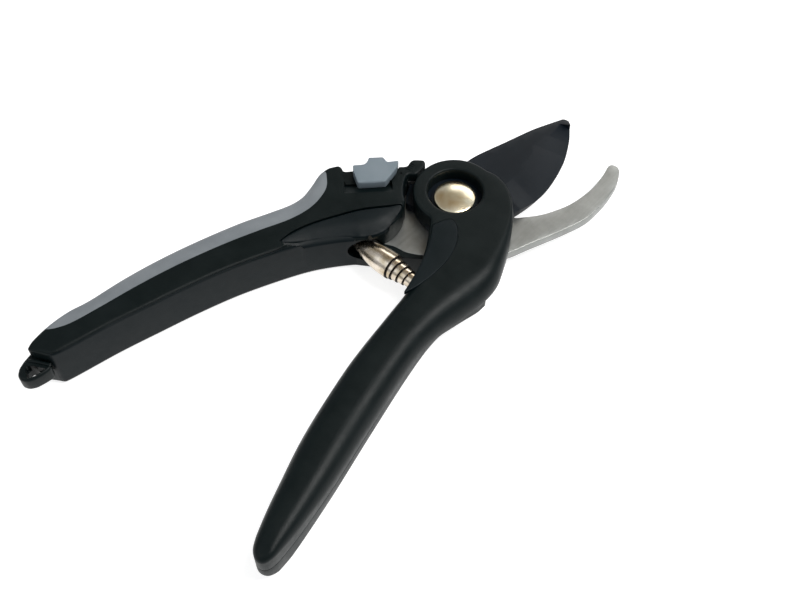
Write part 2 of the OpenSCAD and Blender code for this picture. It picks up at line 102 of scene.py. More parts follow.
def arc(r, a, b, centre=(0, 0), step=STEP):
    """Arc of radius r from angle a to angle b, in degrees."""
    count = max(6, int(abs(math.radians(b - a)) * r / step))
    t = np.radians(np.linspace(a, b, count + 1))
    return np.column_stack([centre[0] + r * np.cos(t), centre[1] + r * np.sin(t)])


def area(p):
    """Signed area of a closed outline, positive when it runs counter-clockwise."""
    x, y = p[:, 0], p[:, 1]
    return 0.5 * np.sum(x * np.roll(y, -1) - y * np.roll(x, -1))


def even(p, step):
    """The closed outline with evenly spaced points."""
    ring = np.vstack([p, p[:1]])
    length = np.concatenate([[0], np.cumsum(np.linalg.norm(np.diff(ring, axis=0), axis=1))])
    keep = np.concatenate([[True], np.diff(length) > 1e-6])
    count = max(12, int(round(length[-1] / step)))
    s = np.linspace(0, length[-1], count, endpoint=False)
    return np.column_stack([np.interp(s, length[keep], ring[keep, k]) for k in (0, 1)])


def blur(values, sigma):
    """Gaussian blur round a closed ring of values, sigma in points."""
    if sigma < 0.2:
        return values
    reach = int(3 * sigma) + 1
    k = np.arange(-reach, reach + 1)
    weight = np.exp(-0.5 * (k / sigma) ** 2)
    weight /= weight.sum()
    return sum(w * np.roll(values, -i, axis=0) for i, w in zip(k, weight))


def outline(*parts, soft=0.5, step=STEP):
    """Closed counter-clockwise outline from its stretches, with its corners rounded."""
    p = even(np.vstack([np.atleast_2d(np.array(q, float)) for q in parts]), step)
    if area(p) < 0:
        p = p[::-1]
    return even(blur(p, soft / step), step)


def circle(r, centre=(0, 0), step=STEP):
    return arc(r, 0, 360, centre, step)[:-1]


def inward(p):
    """Unit normals that point into a counter-clockwise outline."""
    d = np.roll(p, -1, axis=0) - np.roll(p, 1, axis=0)
    d /= np.linalg.norm(d, axis=1)[:, None]
    return np.column_stack([-d[:, 1], d[:, 0]])


def fitted(p, want, share=0.8, reach=4):
    """Rounding radii for an outline: the wanted ones, held below the largest circle that touches
    the outline at each point from inside."""
    want = np.broadcast_to(np.asarray(want, float), (len(p),))
    d = p[None, :, :] - p[:, None, :]
    across = np.einsum("ijk,ik->ij", d, inward(p))
    ball = np.where(across > 1e-3, (d ** 2).sum(2) / (2 * np.maximum(across, 1e-3)), 99.0).min(1)
    r = np.minimum(want, share * ball)
    low = np.min([np.roll(r, k) for k in range(-reach, reach + 1)], axis=0)
    return blur(low, reach / 2)


def distance(points, line):
    """Distance of each point from a polyline given by its dense points."""
    gap = points[:, None, :] - line[None, :, :]
    return np.sqrt((gap ** 2).sum(2)).min(1)


def inside(points, loops):
    """Which points lie inside an odd number of the closed loops."""
    hit = np.zeros(len(points), bool)
    x, y = points[:, 0][:, None], points[:, 1][:, None]
    for p in loops:
        q = np.roll(p, -1, axis=0)
        dy = q[:, 1] - p[:, 1]
        safe = np.where(np.abs(dy) < 1e-12, 1e-12, dy)
        crosses = (p[:, 1] > y) != (q[:, 1] > y)
        at = p[:, 0] + (y - p[:, 1]) / safe * (q[:, 0] - p[:, 0])
        hit ^= (np.sum(crosses & (x < at), axis=1) % 2).astype(bool)
    return hit


# ---------------------------------------------------------------- meshes

def make_piece(name, verts, faces):
    """A mesh object from points in millimetres about the pivot."""
    mesh = bpy.data.meshes.new(name)
    points = (np.asarray(verts, float) + PIVOT_MM) * MM
    mesh.from_pydata(points.tolist(), [], faces)
    mesh.validate()
    piece = bpy.data.objects.new(name, mesh)
    bpy.context.scene.collection.objects.link(piece)
    return piece


def enclosed(tris, borders):
    """The triangles inside the border edges, found by walking in from the hull."""
    borders = {frozenset(e) for e in borders}
    beside = {}
    for k, t in enumerate(tris):
        for e in zip(t, t[1:] + t[:1]):
            beside.setdefault(frozenset(e), []).append(k)
    state = {}
    for e, owners in beside.items():
        if len(owners) == 1:
            state.setdefault(owners[0], e in borders)
    todo = list(state)
    while todo:
        k = todo.pop()
        t = tris[k]
        for e in zip(t, t[1:] + t[:1]):
            for other in beside[frozenset(e)]:
                if other not in state:
                    state[other] = state[k] != (frozenset(e) in borders)
                    todo.append(other)
    return [t for k, t in enumerate(tris) if state.get(k)]


def cap(verts, faces, loops, top, grid, crown, reach):
    """Closes rings of points with triangles, on a grid that rises by crown away from the rings."""
    ids = [i for ring in loops for i in ring]
    rings = [np.array([verts[i][:2] for i in ring]) for ring in loops]
    flat = np.vstack(rings)
    edges = []
    start = 0
    for ring in rings:
        n = len(ring)
        edges += [(start + i, start + (i + 1) % n) for i in range(n)]
        start += n
    extra = np.zeros((0, 2))
    if grid:
        low, high = flat.min(0), flat.max(0)
        rows = np.arange(low[1], high[1], grid * 0.866)
        cells = [np.column_stack([np.arange(low[0] + (k % 2) * grid / 2, high[0], grid),
                                  np.full(len(np.arange(low[0] + (k % 2) * grid / 2, high[0], grid)), y)])
                 for k, y in enumerate(rows)]
        extra = np.vstack(cells)
        extra = extra[inside(extra, rings)]
        extra = extra[distance(extra, flat) > 0.55 * grid]
    points = np.vstack([flat, extra])
    result = delaunay_2d_cdt([Vector(q) for q in points], edges, [], 0, 1e-6, True)
    out, tris, origin = result[0], result[2], result[3]
    level = float(np.mean([verts[i][2] for i in ids]))
    gap = distance(np.array([tuple(v) for v in out]), flat) if crown else None
    index = []
    for k, v in enumerate(out):
        old = [i for i in origin[k] if i < len(ids)]
        if old:
            index.append(ids[old[0]])
            continue
        near = level
        if grid:
            nearest = int(np.argmin(((flat - np.array(tuple(v))) ** 2).sum(1)))
            near = verts[ids[nearest]][2]
        rise = crown * (1 - math.exp(-(gap[k] / reach) ** 2)) if crown else 0.0
        index.append(len(verts))
        verts.append([v.x, v.y, near + rise])
    for t in enclosed(tris, [e for e, old in zip(result[1], result[4]) if old]):
        face = [index[i] for i in t]
        faces.append(face if top else face[::-1])


def moulded(name, outer, z0, z1, low=0.0, high=0.0, holes=(), steps=7, grid=2.2, crown=0.0,
            reach=5.0, warp=None):
    """A plate between two heights with rounded edges. low and high are the rounding radii of its
    bottom and top edges, one number or one for each outline point. holes are (outline, low, high).
    warp(points) moves the finished points."""
    verts, faces, bottoms, tops = [], [], [], []
    shapes = [(outer, low, high)] + [(p[::-1], np.asarray(a)[::-1] if np.ndim(a) else a,
                                      np.asarray(b)[::-1] if np.ndim(b) else b) for p, a, b in holes]
    for p, a, b in shapes:
        n = len(p)
        normal = inward(p)
        rings = []
        for sharp, radius, base, sign in ((np.max(a) < 1e-6, a, z0, 1), (np.max(b) < 1e-6, b, z1, -1)):
            radius = np.broadcast_to(np.asarray(radius, float), (n,))
            side = []
            for k in range(1 if sharp else steps + 1):
                t = math.radians(90 * (1 if sharp else k / steps))
                inset = radius * (1 - math.sin(t))
                z = base + sign * radius * (1 - math.cos(t))
                side.append(np.column_stack([p + normal * inset[:, None], z]))
            rings += side if sign > 0 else side[::-1]
        start = len(verts)
        for ring in rings:
            verts += ring.tolist()
        for k in range(len(rings) - 1):
            for i in range(n):
                here, there = start + k * n + i, start + k * n + (i + 1) % n
                faces.append((here, there, there + n, here + n))
        bottoms.append(range(start, start + n))
        tops.append(range(start + (len(rings) - 1) * n, start + len(rings) * n))
    cap(verts, faces, bottoms, False, 0, 0.0, reach)
    cap(verts, faces, tops, True, grid, crown, reach)
    if warp:
        verts = warp(np.array(verts))
    return make_piece(name, verts, faces)


def prism(p, z0, z1):
    """A sharp-edged plate, used to cut or to keep part of a piece."""
    p = np.array(p, float)
    return moulded("cutter", p if area(p) > 0 else p[::-1], z0, z1, grid=0)


def turned(name, profile, at=(0, 0, 0), axis=(0, 0, 1), count=96):
    """A body of revolution. profile runs from the axis up the outside to the axis: (radius, height)."""
    side = Vector(axis).normalized()
    spin = side.to_track_quat("Z", "Y").to_matrix()
    verts, rings = [], []
    for r, z in profile:
        if r < 1e-6:
            rings.append([len(verts)])
            verts.append(spin @ Vector((0, 0, z)))
            continue
        rings.append(list(range(len(verts), len(verts) + count)))
        verts += [spin @ Vector((r * math.cos(2 * math.pi * k / count),
                                 r * math.sin(2 * math.pi * k / count), z)) for k in range(count)]
    faces = []
    for a, b in zip(rings, rings[1:]):
        for k in range(count):
            m = (k + 1) % count
            if len(a) == 1:
                faces.append((a[0], b[m], b[k]))
            elif len(b) == 1:
                faces.append((a[k], a[m], b[0]))
            else:
                faces.append((a[k], a[m], b[m], b[k]))
    return make_piece(name, np.array([tuple(v) for v in verts]) + np.array(at, float), faces)


def swept(path, r, sides=10):
    """A closed tube along a path of points, for grooves and ridges."""
    path = np.array(path, float)
    tangent = np.gradient(path, axis=0)
    verts, faces = [], []
    for p, t in zip(path, tangent):
        t = t / np.linalg.norm(t)
        across = np.cross(t, (0, 0, 1))
        across /= np.linalg.norm(across)
        up = np.cross(across, t)
        verts += [p + r * (math.cos(a) * across + math.sin(a) * up)
                  for a in np.linspace(0, 2 * math.pi, sides, endpoint=False)]
    for k in range(len(path) - 1):
        for i in range(sides):
            a, b = k * sides + i, k * sides + (i + 1) % sides
            faces.append((a, b, b + sides, a + sides))
    faces.append(tuple(range(sides))[::-1])
    last = (len(path) - 1) * sides
    faces.append(tuple(range(last, last + sides)))
    tube = make_piece("cutter", verts, faces)
    volume_out(tube)
    return tube


def volume_out(piece):
    """Turns the faces outwards when the mesh is inside out."""
    mesh = piece.data
    mesh.calc_loop_triangles()
    volume = sum(mesh.vertices[t.vertices[0]].co.dot(
        mesh.vertices[t.vertices[1]].co.cross(mesh.vertices[t.vertices[2]].co)) for t in mesh.loop_triangles)
    if volume < 0:
        mesh.flip_normals()


def shape_by(piece, cutters, operation="DIFFERENCE"):
    """Cuts the piece with each cutter, keeps only the shared part, or joins them. Cutters are used up."""
    for cutter in cutters:
        modifier = piece.modifiers.new("shape", "BOOLEAN")
        modifier.operation = operation
        modifier.object = cutter
        modifier.solver = "MANIFOLD"
    bpy.context.view_layer.update()
    graph = bpy.context.evaluated_depsgraph_get()
    mesh = bpy.data.meshes.new_from_object(piece.evaluated_get(graph))
    piece.modifiers.clear()
    old = piece.data
    piece.data = mesh
    bpy.data.meshes.remove(old)
    for cutter in cutters:
        data = cutter.data
        bpy.data.objects.remove(cutter)
        bpy.data.meshes.remove(data)
    return piece


def keep_in(piece, region):
    return shape_by(piece, [region], "INTERSECT")


def finish_piece(piece, body, slot, *nodes, angle=33):
    """Smooth shading with crisp edges, the material, the body that it rides on and what it replaces."""
    piece.data.shade_smooth()
    piece.data.set_sharp_from_angle(angle=math.radians(angle))
    piece.data.materials.clear()
    piece.data.materials.append(MATERIALS[slot])
    if nodes:
        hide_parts(*nodes)
    if body:
        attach(piece, body)
    return piece


# ---------------------------------------------------------------- materials

class Nodes:
    """A short way to build a node material."""

    def __init__(self, name):
        self.material = bpy.data.materials.new(name)
        self.material.use_nodes = True
        self.tree = self.material.node_tree
        self.shader = self.tree.nodes["Principled BSDF"]
        self.place = self.add("ShaderNodeTexCoord").outputs["Object"]

    def add(self, kind, links=(), **values):
        node = self.tree.nodes.new(kind)
        for key, value in values.items():
            if key in node.inputs:
                node.inputs[key].default_value = value
            else:
                setattr(node, key, value)
        for socket, source in dict(links).items():
            self.tree.links.new(source, node.inputs[socket])
        return node

    def noise(self, scale, detail=3.0, roughness=0.5, stretch=None, turn=0.0):
        """Noise at a scale in features per metre, stretched along the axes when asked."""
        place = self.place
        if stretch:
            mapping = self.add("ShaderNodeMapping", {"Vector": place})
            mapping.inputs["Scale"].default_value = stretch
            mapping.inputs["Rotation"].default_value = (0, 0, math.radians(turn))
            place = mapping.outputs["Vector"]
        return self.add("ShaderNodeTexNoise", {"Vector": place}, Scale=scale, Detail=detail,
                        Roughness=roughness).outputs["Fac"]

    def cells(self, scale):
        return self.add("ShaderNodeTexVoronoi", {"Vector": self.place}, Scale=scale,
                        feature="SMOOTH_F1").outputs["Distance"]

    def span(self, value, low, high, out_low, out_high):
        return self.add("ShaderNodeMapRange", {"Value": value}, **{
            "From Min": low, "From Max": high, "To Min": out_low, "To Max": out_high}).outputs["Result"]

    def math(self, operation, a, b):
        node = self.add("ShaderNodeMath", operation=operation)
        for socket, value in zip(node.inputs, (a, b)):
            if isinstance(value, (int, float)):
                socket.default_value = value
            else:
                self.tree.links.new(value, socket)
        return node.outputs[0]

    def mix(self, fac, a, b):
        """Colour between a and b."""
        node = self.add("ShaderNodeMix", data_type="RGBA")
        self.tree.links.new(fac, node.inputs[0])
        for socket, value in ((node.inputs[6], a), (node.inputs[7], b)):
            if isinstance(value, tuple):
                socket.default_value = (*value, 1.0)
            else:
                self.tree.links.new(value, socket)
        return node.outputs[2]

    def set(self, **values):
        """Sets or links the shader's sockets; underscores stand for spaces."""
        for key, value in values.items():
            socket = self.shader.inputs[key.replace("_", " ")]
            if isinstance(value, bpy.types.NodeSocket):
                self.tree.links.new(value, socket)
            elif isinstance(value, tuple):
                socket.default_value = (*value, 1.0)
            else:
                socket.default_value = value

    def bump(self, value, depth, strength=1.0):
        """Bump from a height value; depth is in metres."""
        node = self.add("ShaderNodeBump", {"Height": value}, Strength=strength, Distance=depth)
        self.tree.links.new(node.outputs["Normal"], self.shader.inputs["Normal"])


def moulded_plastic(name, dark, light, rough, grain, grain_depth, specular=0.5):
    """Moulded plastic or rubber: fine spark-eroded grain, faint blotches and handling marks."""
    m = Nodes(name)
    blotch = m.noise(110, 3)
    fine = m.noise(grain, 2, 0.6)
    pits = m.cells(grain * 0.55)
    tone = m.span(m.math("ADD", blotch, m.math("MULTIPLY", fine, 0.35)), 0.45, 0.9, 0, 1)
    marks = m.noise(420, 4, 0.6, stretch=(1.0, 0.3, 1.0), turn=24)
    roughness = m.math("ADD", m.span(blotch, 0.3, 0.7, rough - 0.04, rough + 0.04),
                       m.span(marks, 0.35, 0.75, 0.03, -0.05))
    m.set(Base_Color=m.mix(tone, dark, light), Roughness=roughness, Specular_IOR_Level=specular)
    m.bump(m.math("ADD", fine, m.math("MULTIPLY", pits, 0.7)), grain_depth)
    return m.material


def coated_blade(name):
    """Low-friction coating on ground steel: fine grinding lines under a satin film."""
    m = Nodes(name)
    lines = m.noise(900, 4, 0.6, stretch=(0.04, 1.0, 1.0), turn=18)
    speckle = m.noise(5200, 2, 0.5)
    cloud = m.noise(55, 3)
    tone = m.span(cloud, 0.35, 0.7, 0, 1)
    m.set(Base_Color=m.mix(tone, (0.0008, 0.0034, 0.0066), (0.0020, 0.0054, 0.0096)),
          Roughness=m.math("ADD", m.span(cloud, 0.3, 0.7, 0.34, 0.42), m.span(lines, 0.3, 0.7, -0.03, 0.04)),
          Metallic=0.0, Specular_IOR_Level=0.20)
    m.bump(m.math("ADD", lines, m.math("MULTIPLY", speckle, 0.5)), 0.000012)
    return m.material


def brushed_steel(name, turn, bright=(0.320, 0.328, 0.318), dull=(0.245, 0.252, 0.242), rough=0.42):
    """Brushed steel with streaks and faint stains."""
    m = Nodes(name)
    streaks = m.noise(1500, 5, 0.7, stretch=(0.03, 1.0, 1.0), turn=turn)
    stain = m.noise(140, 5, 0.62)
    tone = m.span(m.math("ADD", stain, m.math("MULTIPLY", streaks, 0.5)), 0.55, 0.95, 0, 1)
    m.set(Base_Color=m.mix(tone, dull, bright), Metallic=1.0,
          Roughness=m.span(streaks, 0.3, 0.7, rough - 0.06, rough + 0.08))
    m.bump(m.math("ADD", streaks, m.math("MULTIPLY", stain, 0.2)), 0.000010)
    return m.material


def plated(name, bright, warm, rough, grain=600):
    """Nickel plating with a warm tint in places and very fine turning marks."""
    m = Nodes(name)
    cloud = m.noise(230, 3, 0.55)
    fine = m.noise(grain * 6, 3, 0.6)
    m.set(Base_Color=m.mix(m.span(cloud, 0.38, 0.66, 0, 1), bright, warm), Metallic=1.0,
          Roughness=m.span(fine, 0.3, 0.7, rough - 0.03, rough + 0.05))
    m.bump(fine, 0.000003)
    return m.material


MATERIALS = {
    "handle_nylon": moulded_plastic("satin_nylon", (0.0014, 0.0042, 0.0046), (0.0032, 0.0066, 0.0070),
                                    0.40, 3600, 0.000026, 0.15),
    "soft_black": moulded_plastic("soft_black_rubber", (0.0013, 0.0044, 0.0056), (0.0029, 0.0066, 0.0082),
                                  0.46, 4200, 0.000018, 0.14),
    "grip_grey": moulded_plastic("grey_grip_rubber", (0.150, 0.166, 0.180), (0.190, 0.208, 0.222),
                                 0.62, 4200, 0.000022, 0.25),
    "slider_grey": moulded_plastic("grey_slider_plastic", (0.150, 0.186, 0.212), (0.176, 0.212, 0.238),
                                   0.45, 3800, 0.000014, 0.30),
    "coated_steel": coated_blade("coated_blade_steel"),
    "bright_steel": brushed_steel("brushed_hook_steel", 20),
    "zinc_steel": brushed_steel("zinc_plated_steel", 60, (0.46, 0.46, 0.44), (0.34, 0.34, 0.32), 0.3),
    "nickel": plated("champagne_nickel", (0.84, 0.78, 0.60), (0.70, 0.58, 0.38), 0.22),
}


# ---------------------------------------------------------------- outlines of the upper handle

BACK_EDGE = smooth([(-21.4, 38.6), (-25.6, 39.4), (-31, 38.7), (-35.5, 38), (-40.5, 38.7), (-48, 41.7),
                    (-57, 45.5), (-70, 49.9), (-84, 53.8), (-98, 56.6), (-112, 58.2), (-120, 58.4),
                    (-126, 58.4), (-131, 57.7), (-135.2, 55.8)])
INNER_EDGE = smooth([(-131.2, 48.6), (-126, 47.2), (-112.5, 44.2), (-99, 40.5), (-85, 36.5),
                     (-71.5, 31.9), (-58.5, 26.2), (-49, 21.3), (-42, 16.4), (-37, 12.2)])
NOTCH = [(-3, 19), (-5.1, 21.2), (-16.4, 31.8), (-18.9, 34), (-18.2, 35.5), (-18.3, 36.6), (-19.7, 37.5)]
BACK_HEAD = [smooth([(-35.2, 9.6), (-30.5, 2.5), (-26.5, -4), (-21, -10), (-14.5, -13)]),
             arc(14.5, -118, 92), [(2.4, 16.2), (-0.2, 18.9)], NOTCH]
FRONT_HEAD = [smooth([(-33.5, 9.4), (-29, 6.9), (-24, 6), (-19.5, 6.8), (-16.2, 8.6)]),
              arc(17.4, 148, 108), [(-3.6, 14.2), (1.4, 14.4), (3.2, 16.4), (0.6, 19.6), (-0.6, 19.7)], NOTCH]
INSERT_LINE = smooth([(-127.4, 58.9), (-126.2, 56.8), (-123.2, 54.8), (-119, 53.2), (-110, 51.4),
                      (-96, 48.8), (-82, 45.4), (-68, 41), (-56, 36.4), (-47, 32.6), (-40, 30.9),
                      (-34, 31), (-28, 33), (-23.6, 37.4)])
LINER_LINE = smooth([(-131.5, 49.8), (-126, 48.6), (-112, 45.8), (-98.4, 42.1), (-84.4, 38.1),
                     (-70.8, 33.5), (-58, 27.9), (-48.2, 22.8), (-41, 17.9), (-36.6, 13.4)])
PAD_LOW = smooth([(-54.8, 28), (-50.2, 24), (-44.4, 20), (-38.4, 15.1), (-34, 10.6), (-29.3, 7.6),
                  (-24, 6.6), (-19.5, 7.3), (-16.6, 8.9)])
PAD_HIGH = smooth([(-17, 9.6), (-20, 11.9), (-27, 17.6), (-34, 21.6), (-42, 25.6), (-49, 27.9),
                   (-54.8, 28.2)])
LEAF_DROP = 2.5         # how far the face falls beside the leaf pad
PALM_R = 5.2            # rounding where the palm lies
EDGE_R = 1.6            # rounding on the fingers' side
HEAD_R = 0.8            # rounding about the head
LOBE_ROOM_R = 17.0      # room in the front shell for the blade's lobe
EYE_ROOM_R = 14.7       # room in the front shell for the lower handle's eye
HOOK_ROOM_R = 17.2      # room in the back shell about the hook's eye
INSERT_Z = 2.5          # where the grey insert starts
LINER_Z, LINER_TOP = 1.8, UPPER_TOP - 0.75


def upper_radii(p):
    """Rounding of the upper handle: palm side, finger side and about the head."""
    x, y = p[:, 0], p[:, 1]
    palm = (x < -24) & ((y > 9 - 0.42 * x) | ((x > -46) & (y > 30)))
    r = np.where(palm, PALM_R, np.where(x < -26, EDGE_R, HEAD_R))
    return fitted(p, blur(r, 5))


def leaf_slope(verts):
    """The face falls away from the pad's upper line to the finger side."""
    p = verts[:, :2]
    from_pad, from_edge = distance(p, PAD_HIGH), distance(p, LEAF_FLANK)
    wide = from_pad + from_edge
    share = from_pad / np.maximum(wide, 1e-6)
    below = inside(p, [LEAF_REGION])
    share = np.where(below, share, 0)
    eased = share * share * (3 - 2 * share) * 0.5 + share * 0.5
    drop = np.minimum(LEAF_DROP, 0.34 * wide) * eased
    weight = np.clip((verts[:, 2] - 10.5) / (UPPER_TOP - 10.5), 0, 1)
    moved = verts.copy()
    moved[:, 2] -= drop * weight
    return moved


LEAF_FLANK = np.vstack([smooth([(-55.5, 26.6), (-49, 20.9), (-42, 16.2), (-37, 12)]), FRONT_HEAD[0]])
LEAF_REGION = np.vstack([LEAF_FLANK, [(-50, 0), (-10, 0), (-12, 9)], PAD_HIGH])


def upper_body(name, head, z0, z1, low=None, high=None, warp=None, crown=0.0):
    """The upper handle's form with one of its heads; low and high are None for the full rounding."""
    p = outline(BACK_EDGE, INNER_EDGE, *head, soft=0.55)
    r = upper_radii(p)
    return moulded(name, p, z0, z1, r if low is None else low, r if high is None else high,
                   crown=crown, warp=warp)


def insert_region(grow=0.0):
    """Everything beyond the insert's line, grown for the room that the insert lies in."""
    far = [(-23, 47), (-60, 68), (-127.4, 70)]
    return outline(INSERT_LINE - np.array([0, grow]), far, soft=0.0)


def liner_region():
    """Everything on the fingers' side of the liner's line."""
    return outline(LINER_LINE, [(-36.6, 4), (-90, 22), (-138, 38), (-138, 50)], soft=0.0)


SPRING_FROM = np.array([-33.7, 12.1, SPRING_Z])
SPRING_TO = np.array([-33.1, -10.6, SPRING_Z])
SPRING_GAP = float(np.linalg.norm(SPRING_TO - SPRING_FROM))
SPRING_AXIS = (SPRING_TO - SPRING_FROM) / SPRING_GAP
POCKET_R = 4.9
POCKET_DEPTH = 5.0
UPPER_SCREWS = [(-46, 27.5), (-94, 44), (-122, 50.4)]
LOWER_SCREWS = [(-44, -17), (-84, -28), (-119, -38.6)]


def spring_pocket(lower):
    """Cutter for the round hole that the spring's end stands in."""
    start, end = (SPRING_GAP - 14, SPRING_GAP + POCKET_DEPTH) if lower else (-POCKET_DEPTH, 14)
    return turned("cutter", [(0, start), (POCKET_R, start), (POCKET_R, end), (0, end)],
                  SPRING_FROM, SPRING_AXIS, 64)


def screw_pocket(at):
    """Cutter for a screw head's recess in the back, with a small chamfer."""
    depth = 2.0
    profile = [(0, -1), (3.25, -1), (2.85, 0.15), (2.75, depth), (0, depth)]
    return turned("cutter", profile, (*at, 0), count=48)


def nut_recess():
    """Cutter for the round recess that the nut sits in at the back."""
    r, mouth_r, chamfer = 8.4, 8.8, 0.4
    return turned("cutter", [(0, -1), (mouth_r, -1), (mouth_r, 0.0), (r, chamfer), (r, HOOK_Z), (0, HOOK_Z)])


def disc(r, z0, z1, at=(0, 0)):
    """Cutter for a round hole between two heights."""
    return turned("cutter", [(0, z0), (r, z0), (r, z1), (0, z1)], (*at, 0))


def hook_outline(grow=0.0):
    """The hook blade with its tang, from the eye round to the beak."""
    p = outline(
        arc(13, -62, 112),
        smooth([(-9, 17.5), (-20, 22.5), (-36, 27.5), (-52, 33.5), (-70, 40.8), (-84, 45)]),
        smooth([(-86.5, 42.5), (-84, 39.6), (-70, 35.2), (-52, 27.6), (-40, 20.8), (-32, 12.6),
                (-27, 4.5), (-25.6, -1.5), (-21.5, -8), (-13, -18.5), (-4.6, -25.6), (4.6, -29.4),
                (16.2, -33.9), (25.4, -36.8), (33, -37.2), (39.3, -36.7), (46, -35.3), (50.8, -32.9)]),
        [(51.9, -31.2), (51.4, -29.1)],
        smooth([(50, -28.6), (44, -29.9), (36.5, -30.4), (28.5, -29.4), (22.6, -27.4),
                (16.4, -24.2), (10.2, -19.2)]), soft=0.25, step=0.5)
    return p - inward(p) * grow


CUTTING_EDGE = smooth([(12, -19), (16.9, -19.6), (24.5, -19.8), (30.9, -18.9), (36.8, -17.4),
                       (42.2, -15.5), (49.5, -11.7), (54.2, -8.4)])


def blade_outline(grow=0.0):
    """The cutting blade with its tang: the eye and its lobe, the tang, the cutting edge, the spine."""
    p = outline(
        arc(14, 40, 100), arc(16.5, 106, 138), arc(14, 144, 170),
        smooth([(-15, -4), (-20, -12), (-27, -16.8), (-40, -19.4), (-56, -22.6), (-62, -24.6)]),
        smooth([(-62.6, -28.2), (-56, -27.6), (-40, -25.4), (-28, -26), (-16, -26.4), (-6, -22.4),
                (0, -17.6)]),
        [(8.9, -18.4)], CUTTING_EDGE, [(55.3, -6.7), (55, -5.1)],
        smooth([(54.5, -4.5), (49.1, -2.1), (42.8, 0.5), (32.3, 3.7), (21.3, 7.1), (15.3, 8.2)]),
        soft=0.15, step=0.5)
    return p - inward(p) * grow


def build_upper_handle():
    """Shells, grey insert, soft liner and leaf pad of the handle that carries the lock."""
    insert = upper_body("grip_insert_fine", BACK_HEAD, 0, UPPER_TOP)
    liner = upper_body("inner_liner_fine", BACK_HEAD, 0, UPPER_TOP, warp=leaf_slope)
    keep_in(insert, prism(insert_region(), INSERT_Z, UPPER_TOP + 1))
    shape_by(insert, [screw_pocket(q) for q in UPPER_SCREWS])
    finish_piece(insert, "upper_handle", "grip_grey", "grip_insert")

    keep_in(liner, prism(liner_region(), LINER_Z, LINER_TOP))
    shape_by(liner, [spring_pocket(False), face_groove()])
    finish_piece(liner, "upper_handle", "soft_black", "inner_liner")

    front = upper_body("upper_front_shell_fine", FRONT_HEAD, HOOK_TOP, UPPER_TOP, low=SEAM,
                       warp=leaf_slope, crown=0.12)
    track = outline([(-22.7, 29.9), (-11.2, 18.4), (-7.6, 19.4), (-4.2, 21.2), (-3.8, 22.8), (-17.6, 35.2),
                     (-19.1, 34.3)], soft=0.12, step=0.4)
    bar_slot = outline(arc(1.9, 45, 225, (-15.4, 27.9)), arc(1.9, 225, 405, (-9.4, 21.9)), soft=0.0)
    shape_by(front, [
        prism(insert_region(0.02), INSERT_Z, UPPER_TOP + 1), prism(liner_region(), LINER_Z, LINER_TOP),
        prism(track, UPPER_TOP - 1.2, UPPER_TOP + 1), prism(bar_slot, BLADE_TOP, UPPER_TOP), track_ramp(),
        disc(0.3, UPPER_TOP - 0.6, UPPER_TOP + 1, (-6.8, 18.4)),
        prism(pad_region(0.22), UPPER_TOP - 3.6, UPPER_TOP + 1),
        disc(LOBE_ROOM_R, HOOK_TOP - 1, BLADE_TOP + 0.3), disc(EYE_ROOM_R, HOOK_TOP - 1, UPPER_TOP + 1),
        spring_pocket(False), face_groove(), *horn_grooves()])
    finish_piece(front, "upper_handle", "handle_nylon", "upper_front_shell")

    p = pad_region(0.0)
    pad = moulded("front_pad_fine", p, UPPER_TOP - 3.4, UPPER_TOP - 0.1, 0.0, fitted(p, 0.9), grid=1.4,
                  crown=0.45, reach=2.6, warp=leaf_slope)
    shape_by(pad, [spring_pocket(False)])
    finish_piece(pad, "upper_handle", "soft_black", "front_pad")

    back = upper_body("upper_back_shell_fine", BACK_HEAD, 0, HOOK_TOP, high=SEAM)
    ledge = [(-12, -40), (48, -40), (48, 7), (-12, 7)]
    shape_by(back, [
        prism(insert_region(0.02), INSERT_Z, UPPER_TOP), prism(liner_region(), LINER_Z, UPPER_TOP),
        prism(hook_outline(grow=0.05), HOOK_Z, UPPER_TOP), disc(HOOK_ROOM_R, HOOK_Z, UPPER_TOP),
        prism(ledge, HOOK_Z, UPPER_TOP), nut_recess(), spring_pocket(False),
        *[screw_pocket(q) for q in UPPER_SCREWS]])
    finish_piece(back, "upper_handle", "handle_nylon", "upper_back_shell")


def track_ramp():
    """Cutter for the sloping hollow in front of the lock slider, deepest at its back."""
    deep, shallow = UPPER_TOP - 1.9, UPPER_TOP + 0.1
    back, front = ((-22.7, 29.9), (-11.2, 18.4)), ((-26.2, 26.4), (-14.7, 14.9))
    verts = [(*back[0], deep), (*back[1], deep), (*front[1], shallow), (*front[0], shallow),
             (*back[0], UPPER_TOP + 1), (*back[1], UPPER_TOP + 1)]
    faces = [(0, 1, 2, 3), (0, 4, 5, 1), (0, 3, 4), (1, 5, 2), (4, 3, 2, 5)]
    wedge = make_piece("cutter", verts, faces)
    volume_out(wedge)
    return wedge


def pad_region(grow):
    """Outline of the leaf pad, grown for the room that it lies in."""
    p = outline(PAD_LOW, PAD_HIGH, soft=0.5, step=0.5)
    return p - inward(p) * grow


def face_groove():
    """Cutter for the groove between the flat face and the soft liner."""
    edge = smooth([(-133.5, 50.2), (-126, 47.2), (-112.4, 44.2), (-98.9, 40.6), (-84.9, 36.6),
                   (-71.3, 32), (-58.3, 26.6), (-54.3, 25.2)])
    along = np.linspace(0, 1, len(edge))
    run_out = 0.6 * np.clip((along - 0.93) / 0.07, 0, 1) ** 2
    z = np.full(len(edge), UPPER_TOP - 0.52) + run_out
    return swept(np.column_stack([edge, z]), 0.42)


def horn_grooves():
    """Cutters for the fine ridges on the back of the horn beside the eye."""
    cutters = []
    for k in range(4):
        t = 0.12 + 0.2 * k
        a = np.array([-4.6, 18.2]) * (1 - t) + np.array([-0.2, 18.9]) * t
        path = [(a[0] - 0.2, a[1] + 0.9, UPPER_TOP - 0.25), (a[0] + 0.3, a[1] - 1.6, UPPER_TOP + 0.12)]
        cutters.append(swept(path, 0.2, 8))
    return cutters


